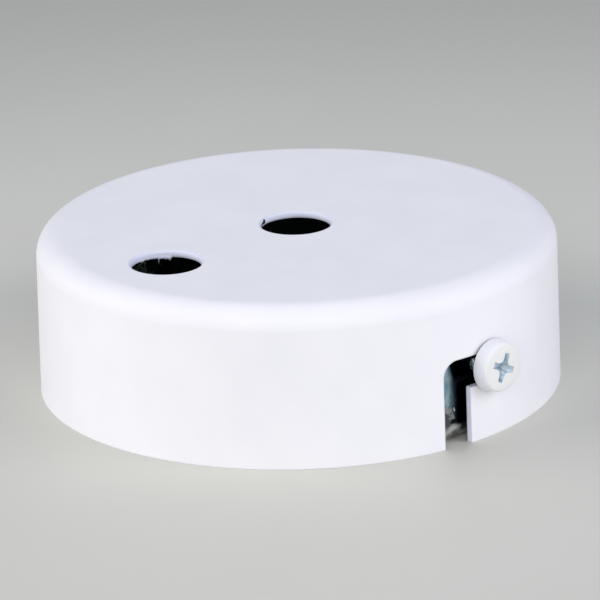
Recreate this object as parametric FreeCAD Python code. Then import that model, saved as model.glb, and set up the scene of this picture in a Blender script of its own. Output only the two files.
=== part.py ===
import FreeCAD, Part
import math
import os

# Ceiling rose in millimetres. The ceiling is the plane z = 0, and +Z points away from it into the room.
# The bracket lies along X, with a side screw at each end of it.

# Cover: a drawn steel cup, open at the ceiling and closed by its flat face
RIM_RADIUS = 40.0
COVER_HEIGHT = 25.0
COVER_SHEET = 1.0
WALL_DRAFT = 0.22
FACE_EDGE_RADIUS = 3.5
INNER_EDGE_CONES = 3

# Cable outlets in the cover's face, one in the middle and one to the side
OUTLET_RADIUS = 5.4
OUTLET_EDGE_BREAK = 0.25
SIDE_OUTLET_DISTANCE = 25.7

# Side screws that hold the cover on the bracket
SCREW_RADIUS = 1.95
SCREW_LENGTH = 8.0
SCREW_TIP_CHAMFER = 0.5
SCREW_AXIS_HEIGHT = 11.42
HEAD_RADIUS = 4.0
HEAD_HEIGHT = 2.6
HEAD_EDGE_RADIUS = 0.9
HEAD_WALL_GAP = 0.3
THREAD_CLEARANCE = 0.05

# Cross recess in a screw head: two tapered arms and a square core that opens their inner corners
RECESS_SPAN = 4.6
RECESS_FLOOR_SPAN = 2.2
RECESS_ARM_WIDTH = 1.0
RECESS_FLOOR_ARM_WIDTH = 0.8
RECESS_CORE_WIDTH = 1.9
RECESS_FLOOR_CORE_WIDTH = 1.2
RECESS_DEPTH = 1.9
RECESS_TURN_DEG = 66.0

# L-shaped slots in the cover's wall: a mouth at the rim and a run that locks on the screw
LOCK_TURN_DEG = 9.5
SLOT_PLAY_TO_FACE = 0.28
SLOT_PLAY_TO_RIM = 0.72
SLOT_CORNER_RADIUS = 2.5
TONGUE_CORNER_RADIUS = 0.35

# Bracket: a zinc-plated strip with both ends bent up into legs
STRIP_WIDTH = 15.9
STRIP_SHEET = 1.5
BEND_RADIUS = 1.0
LEG_RISE = 5.0
LEG_CORNER_RADIUS = 3.0
LEG_WALL_GAP = 0.3
COLLAR_WALL = 1.0
COLLAR_LENGTH = 1.5
SUPPLY_HOLE_RADIUS = 5.25
FIXING_SPACING = 50.0
FIXING_SLOT_LENGTH = 10.0
FIXING_SLOT_WIDTH = 4.5

# Earth terminal on the bracket: a screw in a drawn collar, over a toothed washer and a saddle
EARTH_DISTANCE = 12.6
EARTH_COLLAR_LENGTH = 1.2
EARTH_SCREW_LENGTH = 4.0
EARTH_HEAD_GAP = 0.3
WASHER_BORE_PLAY = 0.2
LOCK_WASHER_RADIUS = 3.9
LOCK_WASHER_SHEET = 0.5
LOCK_WASHER_TEETH = 8
TOOTH_LENGTH = 0.9
TOOTH_GAP = 1.0
SADDLE_LENGTH = 8.0
SADDLE_SHEET = 0.8
SADDLE_BEND_RADIUS = 0.3
SADDLE_LIP = 1.0
SADDLE_PLAY = 0.3

# How far a cutting body reaches past the faces that it cuts
OVERSHOOT = 1.0
TOLERANCE = 1e-6

X_AXIS = FreeCAD.Vector(1, 0, 0)
Y_AXIS = FreeCAD.Vector(0, 1, 0)
Z_AXIS = FreeCAD.Vector(0, 0, 1)
ORIGIN = FreeCAD.Vector(0, 0, 0)


def vec(x, y, z):
    return FreeCAD.Vector(x, y, z)


def turned(shape, axis, degrees):
    copy = shape.copy()
    copy.rotate(ORIGIN, axis, degrees)
    return copy


def moved(shape, x, y, z):
    copy = shape.copy()
    copy.translate(vec(x, y, z))
    return copy


def circles_at(shape, z, radius):
    """The shape's level circles at this height and of this radius."""
    circles = [edge for edge in shape.Edges if isinstance(edge.Curve, Part.Circle)]
    level = [edge for edge in circles if abs(edge.Curve.Center.z - z) < TOLERANCE]
    return [edge for edge in level if abs(edge.Curve.Radius - radius) < TOLERANCE]


def straights_at(shape, z, direction):
    """The shape's straight edges at this height that run in this direction."""
    straights = [edge for edge in shape.Edges if isinstance(edge.Curve, Part.Line)]
    along = [edge for edge in straights if edge.Curve.Direction.cross(direction).Length < TOLERANCE]
    return [edge for edge in along if abs(edge.CenterOfMass.z - z) < TOLERANCE]


def revolved(profile):
    """Solid turned about the Z axis from a closed outline of (radius, z) points."""
    points = [vec(radius, 0, z) for radius, z in profile]
    return Part.Face(Part.makePolygon(points + points[:1])).revolve(ORIGIN, Z_AXIS, 360)


def wall_radius(z):
    """Outer radius of the cover's drafted wall at this height."""
    return RIM_RADIUS - WALL_DRAFT * z / COVER_HEIGHT


def channel(half_length, height, width, sheet, bend_radius):
    """U-shaped strip: base on z = 0 along X, both ends bent up to this height."""

    def block(inset, top):
        length = 2 * (half_length - inset)
        corner = vec(inset - half_length, -width / 2, inset)
        box = Part.makeBox(length, width, top - inset, corner)
        return box.makeFillet(bend_radius + sheet - inset, straights_at(box, inset, Y_AXIS))

    return block(0, height).cut(block(sheet, height + OVERSHOOT))


def obround(length, width, height):
    """Upright slot cutter along X, round at both ends and centred on the Z axis."""
    radius = width / 2
    reach = length / 2 - radius
    sides = Part.makeBox(2 * reach, width, height, vec(-reach, -radius, 0))
    ends = [Part.makeCylinder(radius, height, vec(x, 0, 0)) for x in (-reach, reach)]
    return sides.multiFuse(ends).removeSplitter()


def cup_hollow():
    """Inside of the cup, reaching out below its rim. A few cones follow the inside of the rounded edge."""
    top = COVER_HEIGHT - COVER_SHEET
    bend = max(FACE_EDGE_RADIUS - COVER_SHEET, COVER_SHEET / 4)
    bend_z = top - bend
    bend_centre = wall_radius(bend_z) - COVER_SHEET - bend
    turns = [math.pi / 2 * step / INNER_EDGE_CONES for step in range(INNER_EDGE_CONES + 1)]
    edge = [(bend_centre + bend * math.cos(turn), bend_z + bend * math.sin(turn)) for turn in turns]
    mouth_radius = wall_radius(-OVERSHOOT) - COVER_SHEET
    return revolved([(0, -OVERSHOOT), (mouth_radius, -OVERSHOOT)] + edge + [(0, top)])


def canopy_cover():
    """Drawn cup with two outlets and two L-shaped slots, turned until the slots lock on the screws."""
    face_radius = wall_radius(COVER_HEIGHT)
    cup = Part.makeCone(RIM_RADIUS, face_radius, COVER_HEIGHT)
    cup = cup.makeFillet(FACE_EDGE_RADIUS, circles_at(cup, COVER_HEIGHT, face_radius))
    outlets = [
        Part.makeCylinder(OUTLET_RADIUS, COVER_HEIGHT + OVERSHOOT, vec(0, -distance, COVER_HEIGHT / 2))
        for distance in (0, SIDE_OUTLET_DISTANCE)
    ]
    slot = wall_slot()
    cover = cup.cut(outlets + [cup_hollow(), slot, turned(slot, Z_AXIS, 180)])
    cover = cover.makeChamfer(OUTLET_EDGE_BREAK, circles_at(cover, COVER_HEIGHT, OUTLET_RADIUS))
    return turned(cover, Z_AXIS, -LOCK_TURN_DEG / 2)


def wall_slot():
    """L-shaped cutter through the wall on +X: the mouth at -Y, the locking run towards +Y."""
    width = 2 * SCREW_RADIUS + SLOT_PLAY_TO_FACE + SLOT_PLAY_TO_RIM
    wall_middle = wall_radius(SCREW_AXIS_HEIGHT) - COVER_SHEET / 2
    lock_y = wall_middle * math.sin(math.radians(LOCK_TURN_DEG / 2))
    mouth_outer = -lock_y - width / 2
    mouth_inner = -lock_y + width / 2
    run_top = SCREW_AXIS_HEIGHT + SCREW_RADIUS + SLOT_PLAY_TO_FACE
    run_bottom = run_top - width
    corner = min(SLOT_CORNER_RADIUS, width)
    tongue = TONGUE_CORNER_RADIUS
    bulge = 1 - math.sqrt(0.5)

    def point(y, z):
        return vec(0, y, z)

    def line(start, end):
        return Part.makeLine(point(*start), point(*end))

    def arc(start, middle, end):
        return Part.Arc(point(*start), point(*middle), point(*end)).toShape()

    mouth_start = (mouth_outer, -OVERSHOOT)
    corner_start = (mouth_outer, run_top - corner)
    corner_middle = (mouth_outer + bulge * corner, run_top - bulge * corner)
    corner_end = (mouth_outer + corner, run_top)
    lock_top = (lock_y, run_top)
    lock_end = (lock_y + width / 2, run_top - width / 2)
    lock_bottom = (lock_y, run_bottom)
    tongue_start = (mouth_inner + tongue, run_bottom)
    tongue_middle = (mouth_inner + bulge * tongue, run_bottom - bulge * tongue)
    tongue_end = (mouth_inner, run_bottom - tongue)
    mouth_end = (mouth_inner, -OVERSHOOT)
    outline = Part.Wire([
        line(mouth_start, corner_start),
        arc(corner_start, corner_middle, corner_end),
        line(corner_end, lock_top),
        arc(lock_top, lock_end, lock_bottom),
        line(lock_bottom, tongue_start),
        arc(tongue_start, tongue_middle, tongue_end),
        line(tongue_end, mouth_end),
        line(mouth_end, mouth_start),
    ])
    return Part.Face(outline).extrude(vec(RIM_RADIUS + OVERSHOOT, 0, 0))


def cross_recess():
    """Cutter for a cross recess, from the crown of a head that stands on z = 0 down to its floor."""
    top = HEAD_HEIGHT + OVERSHOOT
    floor = HEAD_HEIGHT - RECESS_DEPTH
    widening = (top - floor) / RECESS_DEPTH

    def tapered(length, floor_length, width, floor_width):
        top_length = floor_length + (length - floor_length) * widening
        top_width = floor_width + (width - floor_width) * widening
        wedge = Part.makeWedge(
            -floor_length / 2, floor, -floor_width / 2, -top_width / 2, -top_length / 2,
            floor_length / 2, top, floor_width / 2, top_width / 2, top_length / 2,
        )
        return turned(wedge, X_AXIS, 90)

    arm = tapered(RECESS_SPAN, RECESS_FLOOR_SPAN, RECESS_ARM_WIDTH, RECESS_FLOOR_ARM_WIDTH)
    core = tapered(RECESS_CORE_WIDTH, RECESS_FLOOR_CORE_WIDTH, RECESS_CORE_WIDTH, RECESS_FLOOR_CORE_WIDTH)
    return arm.multiFuse([turned(arm, Z_AXIS, 90), turned(core, Z_AXIS, 45)])


def pan_screw(length):
    """Pan-head screw on the Z axis, its head standing on z = 0. Two cones follow the head's round edge."""
    arc_middle = HEAD_EDGE_RADIUS * (1 - math.sqrt(0.5))
    blank = revolved([
        (0, -length),
        (SCREW_RADIUS - SCREW_TIP_CHAMFER, -length),
        (SCREW_RADIUS, SCREW_TIP_CHAMFER - length),
        (SCREW_RADIUS, 0),
        (HEAD_RADIUS, 0),
        (HEAD_RADIUS, HEAD_HEIGHT - HEAD_EDGE_RADIUS),
        (HEAD_RADIUS - arc_middle, HEAD_HEIGHT - arc_middle),
        (HEAD_RADIUS - HEAD_EDGE_RADIUS, HEAD_HEIGHT),
        (0, HEAD_HEIGHT),
    ])
    return blank.cut(turned(cross_recess(), Z_AXIS, RECESS_TURN_DEG))


def side_screw():
    """Screw through the wall on +X, its head just off the cover."""
    head_seat = wall_radius(SCREW_AXIS_HEIGHT) + HEAD_WALL_GAP
    lying = turned(pan_screw(SCREW_LENGTH), Y_AXIS, 90)
    return moved(lying, head_seat, 0, SCREW_AXIS_HEIGHT)


def mounting_bracket():
    """Bent strip with fixing slots, a supply hole and drawn collars for the screws."""
    leg_top = SCREW_AXIS_HEIGHT + LEG_RISE
    leg_reach = wall_radius(leg_top) - COVER_SHEET - LEG_WALL_GAP
    half_length = math.sqrt(leg_reach**2 - (STRIP_WIDTH / 2) ** 2)
    strip = channel(half_length, leg_top, STRIP_WIDTH, STRIP_SHEET, BEND_RADIUS)
    strip = strip.makeFillet(LEG_CORNER_RADIUS, straights_at(strip, leg_top, X_AXIS))

    bore_radius = SCREW_RADIUS + THREAD_CLEARANCE
    collar_radius = bore_radius + COLLAR_WALL
    leg_collar = Part.makeCylinder(
        collar_radius, STRIP_SHEET + COLLAR_LENGTH, vec(half_length, 0, SCREW_AXIS_HEIGHT), -X_AXIS
    )
    earth_collar = Part.makeCylinder(
        collar_radius, STRIP_SHEET + EARTH_COLLAR_LENGTH, vec(-EARTH_DISTANCE, 0, 0)
    )
    strip = strip.multiFuse([leg_collar, turned(leg_collar, Z_AXIS, 180), earth_collar])

    through = STRIP_SHEET + EARTH_COLLAR_LENGTH + 2 * OVERSHOOT
    fixing_slot = obround(FIXING_SLOT_LENGTH, FIXING_SLOT_WIDTH, through)
    side_bores = Part.makeCylinder(
        bore_radius, 2 * RIM_RADIUS, vec(-RIM_RADIUS, 0, SCREW_AXIS_HEIGHT), X_AXIS
    )
    strip = strip.cut([
        side_bores,
        Part.makeCylinder(bore_radius, through, vec(-EARTH_DISTANCE, 0, -OVERSHOOT)),
        Part.makeCylinder(SUPPLY_HOLE_RADIUS, through, vec(0, 0, -OVERSHOOT)),
        moved(fixing_slot, -FIXING_SPACING / 2, 0, -OVERSHOOT),
        moved(fixing_slot, FIXING_SPACING / 2, 0, -OVERSHOOT),
    ])
    return strip.removeSplitter()


def lock_washer():
    """Ring with teeth round its outside, lying on z = 0."""
    ring = Part.makeCylinder(LOCK_WASHER_RADIUS, LOCK_WASHER_SHEET)
    bore = Part.makeCylinder(SCREW_RADIUS + WASHER_BORE_PLAY, LOCK_WASHER_SHEET)
    root = LOCK_WASHER_RADIUS - TOOTH_LENGTH
    gap = Part.makeBox(TOOTH_LENGTH + OVERSHOOT, TOOTH_GAP, LOCK_WASHER_SHEET, vec(root, -TOOTH_GAP / 2, 0))
    gaps = [turned(gap, Z_AXIS, 360 / LOCK_WASHER_TEETH * index) for index in range(LOCK_WASHER_TEETH)]
    return ring.cut([bore] + gaps)


def saddle_washer():
    """Plate lying on z = 0 whose two long edges turn down beside the toothed washer."""
    half_width = LOCK_WASHER_RADIUS + SADDLE_PLAY + SADDLE_SHEET
    lipped = channel(half_width, SADDLE_SHEET + SADDLE_LIP, SADDLE_LENGTH, SADDLE_SHEET, SADDLE_BEND_RADIUS)
    upright = moved(turned(turned(lipped, X_AXIS, 180), Z_AXIS, 90), 0, 0, SADDLE_SHEET)
    return upright.cut(Part.makeCylinder(SCREW_RADIUS + WASHER_BORE_PLAY, SADDLE_SHEET))


def earth_terminal():
    """Toothed washer, saddle and screw, stacked on the bracket's earth collar."""
    collar_top = STRIP_SHEET + EARTH_COLLAR_LENGTH
    saddle_seat = collar_top + LOCK_WASHER_SHEET
    head_seat = saddle_seat + SADDLE_SHEET + EARTH_HEAD_GAP
    return {
        "earth_lock_washer": moved(lock_washer(), -EARTH_DISTANCE, 0, collar_top),
        "earth_clamp_washer": moved(saddle_washer(), -EARTH_DISTANCE, 0, saddle_seat),
        "earth_screw": moved(pan_screw(EARTH_SCREW_LENGTH), -EARTH_DISTANCE, 0, head_seat),
    }


def main():
    nodes = {
        "canopy_cover": canopy_cover(),
        "mounting_bracket": mounting_bracket(),
        "side_screw_right": side_screw(),
        "side_screw_left": turned(side_screw(), Z_AXIS, 180),
    }
    nodes.update(earth_terminal())
    os.makedirs("parts", exist_ok=True)
    for name, shape in nodes.items():
        solid = shape.Solids[0]
        print(name, len(shape.Solids), solid.isValid(), round(solid.Volume, 2))
        solid.exportStep(os.path.join("parts", name + ".step"))


main()
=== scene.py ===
import math
import random

import bmesh
import bpy
from mathutils import Matrix, Vector, noise


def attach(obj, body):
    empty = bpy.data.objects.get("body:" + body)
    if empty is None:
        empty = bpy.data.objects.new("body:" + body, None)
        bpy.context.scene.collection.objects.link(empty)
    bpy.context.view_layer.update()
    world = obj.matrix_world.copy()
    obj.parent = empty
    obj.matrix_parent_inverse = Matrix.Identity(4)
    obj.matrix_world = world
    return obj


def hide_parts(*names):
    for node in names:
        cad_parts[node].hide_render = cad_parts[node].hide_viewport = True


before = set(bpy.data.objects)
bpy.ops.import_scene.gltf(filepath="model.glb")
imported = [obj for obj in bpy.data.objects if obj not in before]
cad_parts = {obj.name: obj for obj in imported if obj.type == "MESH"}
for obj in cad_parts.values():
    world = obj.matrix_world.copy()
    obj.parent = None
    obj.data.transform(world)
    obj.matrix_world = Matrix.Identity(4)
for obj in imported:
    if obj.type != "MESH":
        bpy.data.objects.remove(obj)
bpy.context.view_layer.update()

MM = 0.001

# Sizes of the solids that the scene's own pieces follow, in millimetres
FACE_Z = 25.0
SHEET = 1.0
OUTLET_RADIUS = 5.4
SIDE_OUTLET = (-2.128, -25.612)
SCREW_AXIS_Z = 11.42
HEAD_SEAT_X = 40.197
HEAD_RADIUS = 4.0
HEAD_HEIGHT = 2.6
THREAD_RADIUS = 1.95
SIDE_SCREW_LENGTH = 8.0
EARTH_X = -12.6
EARTH_SEAT_Z = 4.3
EARTH_SCREW_LENGTH = 4.0

# Cut edges of the cup below this height are those of its slots, in millimetres
SLOT_ZONE_TOP = 18.0

# The screws' finer form, in millimetres. Points are (radius, height above the seat).
NECK = ((1.62, -0.05), (1.75, 0.0))
HEAD_FOOT = ((HEAD_RADIUS - 0.15, 0.0), (HEAD_RADIUS - 0.04, 0.04), (HEAD_RADIUS, 0.15))
# The head's rounded edge: its side, the corner that it bends towards, and its front
HEAD_EDGE = ((3.79, 1.95), (3.73, 2.42), (3.35, 2.45))
THREAD_PITCH = 0.7
THREAD_CORE = 1.56
# A tooth's share of the thread's depth: its peak before it is cut flat at 1, and its fall per pitch
TOOTH_PEAK = 1.25
TOOTH_FALL = 2.9
PLAIN_SHANK = 0.5
TIP_CHAMFER = 0.5
RING_SPACING = 0.075

# Counts of points and rings on a screw
RING_SEGMENTS = 96
EDGE_RINGS = 10
DOME_RINGS = 5
FILLET_STEPS = 6

# Zones of a screw, which are the places in its list of materials, and their limits in millimetres
HEAD, SHANK, RECESS, UNDERSIDE, TIP, THREAD_END = range(6)
RECESS_ZONE_RADIUS = 2.5
RECESS_ZONE_FOOT = 0.3
RECESS_ZONE_SINK = 0.12
UNDERSIDE_SLACK = 0.02
TIP_SLACK = 0.01
# Length of thread above the tip that carries painted shade with painted glints
PAINTED_GLINT_THREAD = 3.0

# The cross recess, in millimetres and degrees. Outlines are (half span, half width of an arm, fillet).
RECESS_TURN_DEG = 66.0
RECESS_DEPTH = 1.9
RECESS_POINT = 0.25
RECESS_AT_CROWN = (2.3, 0.5, 0.85)
RECESS_AT_FLOOR = (1.05, 0.34, 0.4)
RECESS_RIM_BEVEL = 0.06
RECESS_RIM_SINK = 0.2
RECESS_RIM_ANGLE_DEG = 35
CUTTER_RISE = 0.6

# Ragged paint under the side outlet: turns in degrees about the outlet's axis, lengths in millimetres
SKIRT_TURNS_DEG = (126, 226)
SKIRT_STEPS = 150
SKIRT_SEED = 4
SKIRT_HANG = 0.30
SKIRT_HANG_PAST_DRIP = 0.13
SKIRT_LEAST_HANG = 0.04
# Each drip or blob is (turn in degrees, length, width in radians), and the thin drip comes first
SKIRT_DRIPS = ((148.5, 1.0, 0.014), (131, 0.2, 0.05), (180, 0.25, 0.05))

# Camera at the photograph's angle, in metres and degrees
CAMERA_AZIMUTH_DEG = 45.03
CAMERA_ELEVATION_DEG = 19.382
CAMERA_ROLL_DEG = -1.826
CAMERA_DISTANCE = 0.9
AIM_HEIGHT = 0.0125
AIM_RIGHT = 0.000256
SENSOR_WIDTH_MM = 36.0
LENS_MM = 352.06

# Soft studio light: name, azimuth from the front and elevation in degrees, side in metres, watts, colour
SOFTBOXES = (
    ("left", -38.0, 25.0, 0.85, 7.0, (1.0, 0.946, 0.955)),
    ("front", 40.0, 20.0, 0.8, 4.7, (1.0, 0.953, 0.975)),
    ("right", 113.0, 25.0, 0.7, 5.6, (0.945, 0.92, 1.0)),
)
SOFTBOX_DISTANCE = 1.1
WORLD_COLOUR = (0.79, 0.852, 1.0, 1.0)
WORLD_STRENGTH = 0.545

# Pale floor, its radius in metres
FLOOR_RADIUS = 4.0
FLOOR_SEGMENTS = 96


class Nodes:
    """A material's node tree, built by short calls. Lengths are in metres unless a name ends in _mm."""

    def __init__(self, name):
        self.material = bpy.data.materials.new(name)
        self.material.use_nodes = True
        self.tree = self.material.node_tree
        self.shader = self.tree.nodes["Principled BSDF"]
        self.place = self.add("TexCoord").outputs["Object"]

    def put(self, socket, value):
        """Links a socket to another, or sets its value. A colour is three numbers."""
        if isinstance(value, bpy.types.NodeSocket):
            self.tree.links.new(value, socket)
        elif socket.type == "RGBA":
            socket.default_value = (*value, 1.0)
        else:
            socket.default_value = value

    def add(self, kind, inputs=None, **settings):
        node = self.tree.nodes.new("ShaderNode" + kind)
        for key, value in settings.items():
            setattr(node, key, value)
        for key, value in (inputs or {}).items():
            self.put(node.inputs[key], value)
        return node

    def math(self, operation, a, b=0.0):
        return self.add("Math", {0: a, 1: b}, operation=operation).outputs[0]

    def plus(self, a, b):
        return self.math("ADD", a, b)

    def minus(self, a, b):
        return self.math("SUBTRACT", a, b)

    def times(self, a, b):
        return self.math("MULTIPLY", a, b)

    def absolute(self, a):
        return self.math("ABSOLUTE", a)

    def under(self, a, b):
        """1 where a is under b, and 0 elsewhere."""
        return self.math("LESS_THAN", a, b)

    def over(self, a, b):
        """1 where a is over b, and 0 elsewhere."""
        return self.math("GREATER_THAN", a, b)

    def vector(self, operation, a, b=(0.0, 0.0, 0.0)):
        return self.add("VectorMath", {0: a, 1: b}, operation=operation).outputs["Vector"]

    def dot(self, a, b):
        return self.add("VectorMath", {0: a, 1: b}, operation="DOT_PRODUCT").outputs["Value"]

    def length(self, a):
        return self.add("VectorMath", {0: a}, operation="LENGTH").outputs["Value"]

    def axes(self, vector):
        return self.add("SeparateXYZ", {0: vector}).outputs

    def normal(self):
        return self.add("NewGeometry").outputs["Normal"]

    def step(self, value, low, high, to_low=0.0, to_high=1.0):
        """Smooth step from to_low at low to to_high at high."""
        inputs = {"Value": value, "From Min": low, "From Max": high, "To Min": to_low, "To Max": to_high}
        return self.add("MapRange", inputs, interpolation_type="SMOOTHSTEP").outputs[0]

    def fade(self, value, low, high):
        """Smooth step from 1 at low to 0 at high."""
        return self.step(value, low, high, 1.0, 0.0)

    def mix(self, factor, a, b):
        """Mix of two colours."""
        return self.add("Mix", {0: factor, 6: a, 7: b}, data_type="RGBA").outputs[2]

    def between(self, factor, a, b):
        """Mix of two numbers."""
        return self.add("Mix", {0: factor, 2: a, 3: b}).outputs[0]

    def noise(self, size_mm, detail=2.0, stretch=None, rough=0.5):
        """Noise whose features are about this many millimetres wide."""
        place = self.place
        if stretch:
            place = self.vector("MULTIPLY", place, stretch)
        inputs = {"Vector": place, "Scale": 1 / (size_mm * MM), "Detail": detail, "Roughness": rough}
        return self.add("TexNoise", inputs).outputs[0]

    def cells(self, size_mm):
        """Distance to the middle of a random cell, and the cell's own random red and green."""
        node = self.add("TexVoronoi", {"Vector": self.place, "Scale": 1 / (size_mm * MM)})
        colour = self.add("SeparateColor", {0: node.outputs["Color"]})
        return node.outputs["Distance"], colour.outputs[0], colour.outputs[1]

    def bump(self, height, depth_mm, normal=None):
        inputs = {"Height": height, "Distance": depth_mm * MM}
        if normal:
            inputs["Normal"] = normal
        return self.add("Bump", inputs).outputs[0]

    def soft_edges(self, radius):
        return self.add("Bevel", {"Radius": radius}, samples=6).outputs[0]

    def finish(self, **inputs):
        for key, value in inputs.items():
            self.put(self.shader.inputs[key.replace("_", " ")], value)
        return self.material


def near_outlets(n, flat, full_mm, none_mm):
    """Mask round both outlets: 1 up to full_mm past their edge, and 0 from none_mm on."""
    mask = 0.0
    for x, y in ((0.0, 0.0), SIDE_OUTLET):
        from_axis = n.length(n.vector("SUBTRACT", flat, (x * MM, y * MM, 0.0)))
        ring = n.fade(from_axis, (OUTLET_RADIUS + full_mm) * MM, (OUTLET_RADIUS + none_mm) * MM)
        mask = n.math("MAXIMUM", mask, ring)
    return mask


def outlet_chip(n, z):
    """Mask of a claw-shaped chip in the coat on the middle outlet's wall, wide below and narrow above."""
    turn = math.radians(204.0)
    low, high = (FACE_Z - 0.76) * MM, (FACE_Z - 0.1) * MM
    outward = n.dot(n.place, (math.cos(turn), math.sin(turn), 0.0))
    along = n.dot(n.place, (-math.sin(turn), math.cos(turn), 0.0))
    middle = n.step(z, low, high, 0.3 * MM, -0.56 * MM)
    half_width = n.step(z, low, high, 1.1 * MM, 0.2 * MM)
    ragged = n.times(n.minus(n.noise(0.25), 0.5), 0.3 * MM)
    across = n.under(n.absolute(n.minus(along, middle)), n.plus(half_width, ragged))
    on_wall = n.under(n.absolute(n.minus(outward, OUTLET_RADIUS * MM)), 0.45 * MM)
    upright = n.times(n.over(n.plus(z, ragged), low), n.under(z, high))
    return n.times(n.times(across, on_wall), upright)


def white_coat():
    """Satin white powder coat outside, bare steel inside the cup darkened near black as painted shade, and a
    chip in the middle outlet.
    """
    n = Nodes("white_coat")
    z = n.axes(n.place)[2]
    normal = n.normal()
    flat = n.vector("MULTIPLY", n.place, (1.0, 1.0, 0.0))
    turned_out = n.dot(normal, n.vector("NORMALIZE", flat))

    # Inside are the faces that look towards the axis or down, between the rim and the flat top
    looks_in = n.under(n.math("MINIMUM", turned_out, n.axes(normal)[2]), -0.3)
    between_edges = n.times(n.over(z, 0.3 * MM), n.under(z, (FACE_Z - SHEET + 0.02) * MM))
    inside = n.times(looks_in, between_edges)

    # Painted cool light and shade: the coat is bluer and darker on the walls of the outlets, and bluer and
    # lighter on the cut edges of the slots
    coat = n.mix(n.step(n.noise(9.0, detail=3.0), 0.3, 0.7), (0.800, 0.803, 0.815), (0.822, 0.824, 0.832))
    coat = n.mix(near_outlets(n, flat, 0.2, 0.35), coat, (0.70, 0.738, 0.835))
    slot_edge_painted_light = n.times(n.under(n.absolute(turned_out), 0.5), n.under(z, SLOT_ZONE_TOP * MM))
    coat = n.mix(slot_edge_painted_light, coat, (0.85, 0.90, 0.985))

    # A few fine grains of dust in the coat
    from_grit, _, grit_draw = n.cells(11.0)
    grit = n.times(n.fade(from_grit, 0.006, 0.014), n.over(grit_draw, 0.7))
    coat = n.mix(grit, coat, (0.62, 0.63, 0.65))

    # The steel inside is smeared and speckled and darkened near black as painted shade, and the chip is all
    # but black
    smear = n.step(n.noise(7.0, detail=4.0, stretch=(1.0, 1.0, 0.35)), 0.3, 0.7)
    steel = n.mix(smear, (0.020, 0.034, 0.030), (0.042, 0.064, 0.058))
    steel = n.mix(n.step(n.noise(0.8), 0.64, 0.72), steel, (0.10, 0.14, 0.13))
    colour = n.mix(inside, coat, steel)
    colour = n.mix(outlet_chip(n, z), colour, (0.002, 0.003, 0.003))

    # Edges are rounder at the outlets, and the coat has a fine orange peel and a few nibs
    edge_radius = n.plus(n.times(near_outlets(n, flat, 1.0, 1.5), 0.3 * MM), 0.3 * MM)
    from_nib, nib_draw, _ = n.cells(3.2)
    nib = n.times(n.fade(from_nib, 0.0, 0.045), n.over(nib_draw, 0.72))
    relief = n.bump(n.noise(1.3, detail=1.5), 0.006, n.soft_edges(edge_radius))
    relief = n.bump(nib, 0.015, relief)
    rough = n.step(n.noise(4.0, detail=3.0), 0.25, 0.75, 0.50, 0.60)
    return n.finish(Base_Color=colour, Metallic=n.times(inside, 0.5), Roughness=rough,
                    Specular_IOR_Level=0.4, Normal=relief)


def screw_lacquer():
    """White lacquer on the side screws' heads, creamier on the front, and painted lighter and bluer round it
    as painted cool light.
    """
    n = Nodes("screw_lacquer")
    crown = HEAD_SEAT_X + HEAD_HEIGHT
    front = n.step(n.absolute(n.axes(n.place)[0]), (crown - 0.5) * MM, (crown - 0.15) * MM)
    cloud = n.step(n.noise(1.6, detail=3.0), 0.3, 0.7)
    # Painted cool light: the side is lighter and bluer than the front
    side_painted_light_colour = n.mix(cloud, (0.875, 0.89, 0.905), (0.895, 0.907, 0.92))
    front_colour = n.mix(cloud, (0.766, 0.772, 0.735), (0.785, 0.793, 0.755))
    relief = n.bump(n.noise(0.7), 0.006, n.soft_edges(0.08 * MM))
    rough = n.step(n.noise(0.9), 0.3, 0.7, 0.40, 0.50)
    return n.finish(Base_Color=n.mix(front, side_painted_light_colour, front_colour), Roughness=rough,
                    Specular_IOR_Level=0.4, Normal=relief)


def zinc(name, dark, light, rough_range, spangle_mm, metallic=1.0):
    """Zinc plate with a faint spangle, fine rolling lines and dull spots."""
    n = Nodes(name)
    _, spangle, _ = n.cells(spangle_mm)
    lines = n.noise(0.5, detail=4.0, stretch=(0.08, 1.0, 1.0), rough=0.6)
    spots = n.noise(1.1, detail=5.0, rough=0.65)
    shade = n.plus(n.times(spangle, 0.35), n.times(spots, 0.65))
    dullness = n.plus(n.times(spots, 0.6), n.times(spangle, 0.4))
    relief = n.bump(lines, 0.004, n.soft_edges(0.12 * MM))
    relief = n.bump(spots, 0.006, relief)
    return n.finish(Base_Color=n.mix(n.step(shade, 0.25, 0.75), dark, light), Metallic=metallic,
                    Roughness=n.step(dullness, 0.2, 0.8, *rough_range), Normal=relief)


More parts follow.
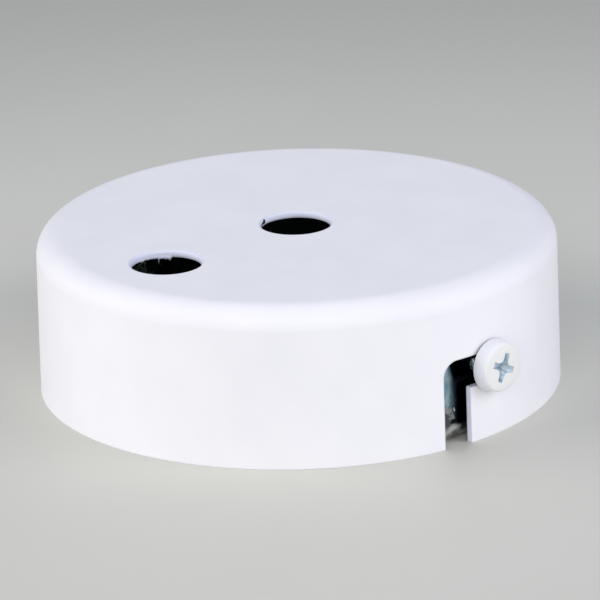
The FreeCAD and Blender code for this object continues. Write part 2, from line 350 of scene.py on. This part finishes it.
def blue_zinc():
    """Blue-passivated zinc of the bracket.

    The legs are smooth and tinted, with painted shade round the screws, on their inner faces and in a line
    above each bend, and mottled towards the bends with painted light at the foot. The strip between them is
    clean.
    """
    n = Nodes("zinc_plate")
    x, y, z = n.axes(n.place)
    wisps = n.noise(1.0, detail=5.0, stretch=(1.0, 1.0, 0.45), rough=0.65)
    clouds = n.noise(3.5, detail=3.0)
    scuffs = n.noise(1.3, detail=3.0, stretch=(1.0, 0.8, 0.9), rough=0.6)
    wander = n.times(n.minus(clouds, 0.5), 5.0 * MM)
    off_middle = n.plus(n.absolute(y), n.times(wander, 0.15))
    level = n.plus(z, n.times(wander, 0.2))

    # The tint starts above the bends, higher at the sides of a leg, with painted shade darkening its middle
    # round the screw
    climb = n.step(off_middle, 5.0 * MM, 6.4 * MM, 0.0, 2.8 * MM)
    on_leg = n.step(n.minus(n.plus(z, n.times(wander, 0.5)), climb), 2.2 * MM, 3.4 * MM)
    tinted = n.mix(n.step(wisps, 0.38, 0.62), (0.16, 0.32, 0.42), (0.40, 0.54, 0.58))
    tinted = n.mix(n.fade(off_middle, 5.3 * MM, 7.3 * MM), tinted, (0.010, 0.014, 0.018))
    tinted = n.mix(n.step(n.noise(0.5), 0.66, 0.72), tinted, (0.66, 0.72, 0.74))

    # Below it the legs are mottled, and painted lighter at the foot as painted light
    patches = n.step(scuffs, 0.40, 0.60)
    mottled = n.mix(patches, (0.10, 0.11, 0.11), (0.33, 0.33, 0.31))
    foot_painted_light = n.mix(patches, (0.26, 0.27, 0.27), (0.58, 0.58, 0.55))
    mottled = n.mix(n.fade(z, 2.4 * MM, 3.0 * MM), mottled, foot_painted_light)
    clean = n.mix(n.step(clouds, 0.3, 0.7), (0.40, 0.44, 0.46), (0.52, 0.56, 0.57))
    near_leg = n.step(n.absolute(x), 33.0 * MM, 35.5 * MM)
    colour = n.mix(on_leg, n.mix(near_leg, clean, mottled), tinted)

    # Painted shade: a dark line runs across each leg just above the bend
    off_crease = n.absolute(n.minus(level, 3.4 * MM))
    crease_painted_shade = n.times(n.fade(off_crease, 0.25 * MM, 0.5 * MM), n.fade(off_middle, 6.1 * MM, 6.8 * MM))
    colour = n.mix(crease_painted_shade, colour, (0.010, 0.012, 0.012))

    # Painted shade darkens the legs' inner faces, which have sparse lighter specks
    turned_in = n.fade(n.times(n.axes(n.normal())[0], n.math("SIGN", x)), -0.95, -0.2)
    inner = n.times(turned_in, n.step(level, 2.0 * MM, 6.0 * MM))
    inner_painted_shade = n.mix(n.step(n.noise(0.6), 0.62, 0.70), (0.030, 0.036, 0.036), (0.14, 0.18, 0.16))
    colour = n.mix(inner, colour, inner_painted_shade)

    # The tinted zinc is glossier than the rest
    dull = n.step(scuffs, 0.3, 0.7, 0.38, 0.55)
    bright = n.step(wisps, 0.3, 0.7, 0.10, 0.20)
    relief = n.bump(wisps, 0.003, n.soft_edges(0.12 * MM))
    return n.finish(Base_Color=colour, Metallic=1.0, Roughness=n.between(on_leg, dull, bright), Normal=relief)


def brass():
    """Rolled brass with light tarnish."""
    n = Nodes("brass_saddle")
    tarnish = n.noise(1.4, detail=4.0, rough=0.6)
    lines = n.noise(0.4, detail=3.0, stretch=(1.0, 0.08, 1.0))
    colour = n.mix(n.step(tarnish, 0.3, 0.75), (0.78, 0.60, 0.30), (0.52, 0.38, 0.19))
    rough = n.step(tarnish, 0.3, 0.7, 0.26, 0.42)
    relief = n.bump(lines, 0.005, n.soft_edges(0.1 * MM))
    return n.finish(Base_Color=colour, Metallic=1.0, Roughness=rough, Normal=relief)


def floor_paper():
    """Pale studio paper with a faint tooth, darker away from the middle as painted fall-off of light."""
    n = Nodes("floor_paper")
    cloud = n.step(n.noise(60.0), 0.3, 0.7)
    pale = n.mix(cloud, (0.608, 0.606, 0.532), (0.622, 0.619, 0.546))
    # Painted shade: the paper darkens away from the middle, where less light falls
    colour = n.mix(n.step(n.length(n.place), 0.08, 0.24), pale, (0.43, 0.429, 0.378))
    relief = n.bump(n.noise(0.6, detail=3.0), 0.004)
    return n.finish(Base_Color=colour, Roughness=0.55, Normal=relief)


def linked(name, bm):
    """Object in the scene with the bmesh as its mesh, its faces turned outwards."""
    bmesh.ops.recalc_face_normals(bm, faces=bm.faces)
    mesh = bpy.data.meshes.new(name)
    bm.to_mesh(mesh)
    bm.free()
    obj = bpy.data.objects.new(name, mesh)
    bpy.context.scene.collection.objects.link(obj)
    return obj


def piece(name, bm, materials, smooth_deg=None):
    """Object from a bmesh that is in metres in the part's frame."""
    obj = linked(name, bm)
    mesh = obj.data
    for material in materials:
        mesh.materials.append(material)
    if smooth_deg is not None:
        mesh.polygons.foreach_set("use_smooth", [True] * len(mesh.polygons))
        mesh.set_sharp_from_angle(angle=math.radians(smooth_deg))
    return obj


def rings_mesh(rings, low_tip, high_tip):
    """Closed skin over rings of points, with a fan at each end."""
    bm = bmesh.new()
    rows = [[bm.verts.new(point) for point in ring] for ring in rings]
    count = len(rows[0])
    for low, high in zip(rows, rows[1:]):
        for i in range(count):
            j = (i + 1) % count
            bm.faces.new((low[i], low[j], high[j], high[i]))
    for row, tip in ((rows[0][::-1], low_tip), (rows[-1], high_tip)):
        end = bm.verts.new(tip)
        for i in range(count):
            bm.faces.new((row[i], row[(i + 1) % count], end))
    return bm


def on_axis(z):
    """Point in metres at this height in millimetres on a screw's axis."""
    return Vector((0, 0, z)) * MM


def thread_radius(z, turn, length):
    """Radius of the threaded shank at height z from the head's seat and at this turn, in millimetres."""
    phase = (z / THREAD_PITCH - turn / (2 * math.pi)) % 1.0
    tooth = max(0.0, min(1.0, TOOTH_PEAK - TOOTH_FALL * abs(phase - 0.5)))
    run_in = min(1.0, max(0.0, (-z - PLAIN_SHANK) / THREAD_PITCH))
    tip_cone = THREAD_RADIUS - TIP_CHAMFER + (z + length)
    return min(THREAD_CORE + (THREAD_RADIUS - THREAD_CORE) * tooth * run_in, tip_cone)


def cross_outline(span, arm, fillet):
    """Points of a cross with rounded inner corners, counter-clockwise, in millimetres."""
    centre = arm + fillet
    turns = [math.radians(270 - 90 * k / FILLET_STEPS) for k in range(FILLET_STEPS + 1)]
    corner = [(centre + fillet * math.cos(t), centre + fillet * math.sin(t)) for t in turns]
    quarter = [(span, -arm), (span, arm)] + corner
    quarter_turns = ((1, 0), (0, 1), (-1, 0), (0, -1))
    return [(x * c - y * s, x * s + y * c) for c, s in quarter_turns for x, y in quarter]


def recess_cutter():
    """Tapered cross with a pointed floor that cuts a screw head's recess, standing out over the crown."""
    crown = cross_outline(*RECESS_AT_CROWN)
    floor = cross_outline(*RECESS_AT_FLOOR)
    grow = (RECESS_DEPTH + CUTTER_RISE) / RECESS_DEPTH
    top = [(f[0] + (c[0] - f[0]) * grow, f[1] + (c[1] - f[1]) * grow) for c, f in zip(crown, floor)]
    floor_z, top_z = HEAD_HEIGHT - RECESS_DEPTH, HEAD_HEIGHT + CUTTER_RISE
    rings = [[Vector((x, y, z)) * MM for x, y in ring] for ring, z in ((floor, floor_z), (top, top_z))]
    cutter = rings_mesh(rings, on_axis(floor_z - RECESS_POINT), on_axis(top_z))
    turn = Matrix.Rotation(math.radians(RECESS_TURN_DEG), 3, "Z")
    bmesh.ops.rotate(cutter, verts=cutter.verts, matrix=turn)
    return cutter


def carved(blank, cutter):
    """Bmesh of the blank with the cutter taken away."""
    objects = [linked("blank", blank), linked("cutter", cutter)]
    modifier = objects[0].modifiers.new("carve", "BOOLEAN")
    modifier.operation = "DIFFERENCE"
    modifier.solver = "EXACT"
    modifier.object = objects[1]
    shown = objects[0].evaluated_get(bpy.context.evaluated_depsgraph_get())
    bm = bmesh.new()
    bm.from_mesh(shown.to_mesh())
    for obj in objects:
        bpy.data.meshes.remove(obj.data)
    return bm


def screw_blank(length):
    """Threaded shank and pan head without a recess, its seat at z = 0."""
    turns = [2 * math.pi * i / RING_SEGMENTS for i in range(RING_SEGMENTS)]
    rings = []

    def ring(radii, z):
        rings.append([Vector((r * math.cos(t), r * math.sin(t), z)) * MM for r, t in zip(radii, turns)])

    steps = round(length / RING_SPACING)
    for k in range(steps):
        z = -length + length * k / steps
        ring([thread_radius(z, t, length) for t in turns], z)
    profile = [*NECK, *HEAD_FOOT]
    side, corner, front = [Vector(point) for point in HEAD_EDGE]
    for k in range(EDGE_RINGS + 1):
        t = k / EDGE_RINGS
        profile.append(side * (1 - t) ** 2 + corner * 2 * t * (1 - t) + front * t * t)
    for k in range(1, DOME_RINGS):
        r = front.x * (1 - k / DOME_RINGS)
        profile.append((r, HEAD_HEIGHT - (HEAD_HEIGHT - front.y) * (r / front.x) ** 2))
    for radius, z in profile:
        ring([radius] * RING_SEGMENTS, z)
    return rings_mesh(rings, on_axis(-length), on_axis(HEAD_HEIGHT))


def screw_zone(centre, length):
    """Zone of a face with this centre, on a screw whose seat is at z = 0."""
    z = centre.z / MM
    near_axis = centre.to_2d().length < RECESS_ZONE_RADIUS * MM
    if near_axis and RECESS_ZONE_FOOT < z < HEAD_HEIGHT - RECESS_ZONE_SINK:
        return RECESS
    if abs(z) < UNDERSIDE_SLACK:
        return UNDERSIDE
    if z < TIP_SLACK - length:
        return TIP
    if z < PAINTED_GLINT_THREAD - length:
        return THREAD_END
    return SHANK if z < 0 else HEAD


def pan_screw(name, length, place, materials):
    """Pan-head screw with a cross recess and a cut thread, moved by the matrix place.

    Its materials are in the order of the zones.
    """
    bm = carved(screw_blank(length), recess_cutter())
    rim_low, rim_angle = (HEAD_HEIGHT - RECESS_RIM_SINK) * MM, math.radians(RECESS_RIM_ANGLE_DEG)
    rim = [e for e in bm.edges if len(e.link_faces) == 2 and e.calc_face_angle() > rim_angle
           and all(v.co.z > rim_low for v in e.verts)]
    bmesh.ops.bevel(bm, geom=rim, offset=RECESS_RIM_BEVEL * MM, segments=2, profile=0.5, affect="EDGES",
                    clamp_overlap=True)
    for face in bm.faces:
        face.material_index = screw_zone(face.calc_center_median(), length)
    bm.transform(place)
    return piece(name, bm, materials, smooth_deg=38)


def paint_skirt(material):
    """Ragged paint that hangs from the lower edge of the side outlet, with a thin drip and two blobs."""
    rng = random.Random(SKIRT_SEED)
    start, end = [math.radians(turn) for turn in SKIRT_TURNS_DEG]
    drips = [(math.radians(turn), size, width) for turn, size, width in SKIRT_DRIPS]
    thin_drip = drips[0][0]
    rings = []
    for k in range(SKIRT_STEPS + 1):
        turn = start + (end - start) * k / SKIRT_STEPS
        # Full soon after its start, and thinning out over the last sixth
        fade = min(1.0, 40 * k / SKIRT_STEPS, 6 * (SKIRT_STEPS - k) / SKIRT_STEPS)
        seed = Vector((turn * 9.0, 0.3, 0.0))
        hang = SKIRT_HANG if turn < thin_drip else SKIRT_HANG_PAST_DRIP
        ragged = 0.16 * noise.noise(seed) + 0.09 * noise.noise(seed * 3.7) + 0.03 * rng.uniform(-1, 1)
        drop = max(SKIRT_LEAST_HANG, hang + ragged)
        drop += sum(size * math.exp(-((turn - at) / width) ** 2) for at, size, width in drips)
        drop *= fade
        thick = 0.05 + 0.05 * fade + 0.02 * noise.noise(seed * 2.1)
        # Points of the section are (out from the outlet's wall, up from the sheet's lower face)
        section = [(0.06, 0.35), (-0.02, 0.34), (-thick * 0.6, 0.1), (-thick, -drop * 0.6),
                   (-thick * 0.7, -drop), (0.0, -drop - 0.02), (0.06, -drop * 0.7), (0.07, 0.0)]
        ring = []
        for out, up in section:
            r = OUTLET_RADIUS + out
            ring.append(Vector((SIDE_OUTLET[0] + r * math.cos(turn), SIDE_OUTLET[1] + r * math.sin(turn),
                                FACE_Z - SHEET + up)) * MM)
        rings.append(ring)
    first, last = [sum(r, Vector()) / len(r) for r in (rings[0], rings[-1])]
    return piece("paint_skirt", rings_mesh(rings, first, last), [material], smooth_deg=60)


def dress(node, material):
    """Puts a material on a CAD node's own slots."""
    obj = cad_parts[node]
    for slot in obj.material_slots:
        slot.link = "OBJECT"
        slot.material = material


def direction(azimuth_deg, elevation_deg):
    """Unit vector away from the object, its azimuth counted from the front."""
    a, e = math.radians(azimuth_deg), math.radians(elevation_deg)
    return Vector((math.sin(a) * math.cos(e), -math.cos(a) * math.cos(e), math.sin(e)))


def softbox(name, azimuth_deg, elevation_deg, side, power, colour):
    """Area light aimed at the object."""
    data = bpy.data.lights.new(name, "AREA")
    data.shape = "RECTANGLE"
    data.size, data.size_y = side, side
    data.energy = power
    data.color = colour
    light = bpy.data.objects.new(name, data)
    away = direction(azimuth_deg, elevation_deg)
    light.location = away * SOFTBOX_DISTANCE
    light.rotation_euler = away.to_track_quat("Z", "Y").to_euler()
    bpy.context.scene.collection.objects.link(light)


def studio_world():
    """Even cool light from all round."""
    world = bpy.data.worlds.new("studio")
    world.use_nodes = True
    background = world.node_tree.nodes["Background"]
    background.inputs["Color"].default_value = WORLD_COLOUR
    background.inputs["Strength"].default_value = WORLD_STRENGTH
    bpy.context.scene.world = world


def photo_camera():
    """Long-lens camera at the photograph's angle, rolled as the photograph is."""
    azimuth, roll = math.radians(CAMERA_AZIMUTH_DEG), math.radians(CAMERA_ROLL_DEG)
    target = Vector((0, 0, AIM_HEIGHT))
    eye = target + direction(CAMERA_AZIMUTH_DEG, CAMERA_ELEVATION_DEG) * CAMERA_DISTANCE
    aim_shift = Vector((math.cos(azimuth), math.sin(azimuth), 0.0)) * AIM_RIGHT
    away = (eye - target - aim_shift).normalized()
    right = Vector((0, 0, 1)).cross(away).normalized()
    up = away.cross(right)
    rolled_right = right * math.cos(roll) + up * math.sin(roll)
    rolled_up = up * math.cos(roll) - right * math.sin(roll)
    camera = bpy.data.objects.new("camera", bpy.data.cameras.new("camera"))
    camera.data.sensor_width = SENSOR_WIDTH_MM
    camera.data.lens = LENS_MM
    turned = Matrix((rolled_right, rolled_up, away)).transposed().to_4x4()
    camera.matrix_world = Matrix.Translation(eye) @ turned
    bpy.context.scene.collection.objects.link(camera)
    bpy.context.scene.camera = camera


# Finishes
coat = white_coat()
lacquer = screw_lacquer()
plate = blue_zinc()
bare = zinc("zinc_screw", (0.26, 0.32, 0.35), (0.42, 0.48, 0.52), (0.18, 0.34), 0.9)
recess = zinc("zinc_recess", (0.25, 0.36, 0.40), (0.74, 0.83, 0.90), (0.45, 0.65), 0.5, metallic=0.2)
# Painted shade: the screws' tips are near-black zinc
tip = zinc("zinc_tip_painted_shade", (0.004, 0.006, 0.005), (0.024, 0.036, 0.031), (0.4, 0.6), 0.5, metallic=0.2)
# Painted shade with painted glints: the thread's end is dark with bright greenish specks
thread_end = zinc("zinc_thread_painted_glints", (0.03, 0.045, 0.042), (0.70, 0.93, 0.86), (0.4, 0.6), 0.4, metallic=0.2)
# Painted shade: the underside of each screw head is near black
head_underside_painted_shade = zinc("steel_underside_painted_shade", (0.03, 0.032, 0.034), (0.06, 0.063, 0.066), (0.4, 0.6), 0.9)
dress("canopy_cover", coat)
dress("mounting_bracket", plate)
dress("earth_lock_washer", bare)
dress("earth_clamp_washer", brass())

# Screws, each in place of its plain solid
right_seat = Matrix.Translation(Vector((HEAD_SEAT_X, 0, SCREW_AXIS_Z)) * MM)
right_place = right_seat @ Matrix.Rotation(math.pi / 2, 4, "Y")
left_place = Matrix.Rotation(math.pi, 4, "Z") @ right_place
earth_place = Matrix.Translation(Vector((EARTH_X, 0, EARTH_SEAT_Z)) * MM)
white_finishes = [lacquer, bare, recess, head_underside_painted_shade, tip, thread_end]
for node, body, length, place, head in (
    ("side_screw_right", "screw_right", SIDE_SCREW_LENGTH, right_place, lacquer),
    ("side_screw_left", "screw_left", SIDE_SCREW_LENGTH, left_place, lacquer),
    ("earth_screw", "terminal_screw", EARTH_SCREW_LENGTH, earth_place, bare),
):
    finishes = [bare] * len(white_finishes) if head is bare else white_finishes
    screw = pan_screw(node + "_detailed", length, place, finishes)
    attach(screw, body)
    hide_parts(node)

# Ragged paint on the cup
skirt = paint_skirt(coat)
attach(skirt, "cover")

# Pale floor, light and camera
disc = bmesh.new()
bmesh.ops.create_circle(disc, cap_ends=True, segments=FLOOR_SEGMENTS, radius=FLOOR_RADIUS)
floor = piece("floor", disc, [floor_paper()])
studio_world()
for box in SOFTBOXES:
    softbox(*box)
photo_camera()
bpy.context.scene.view_settings.view_transform = "Standard"
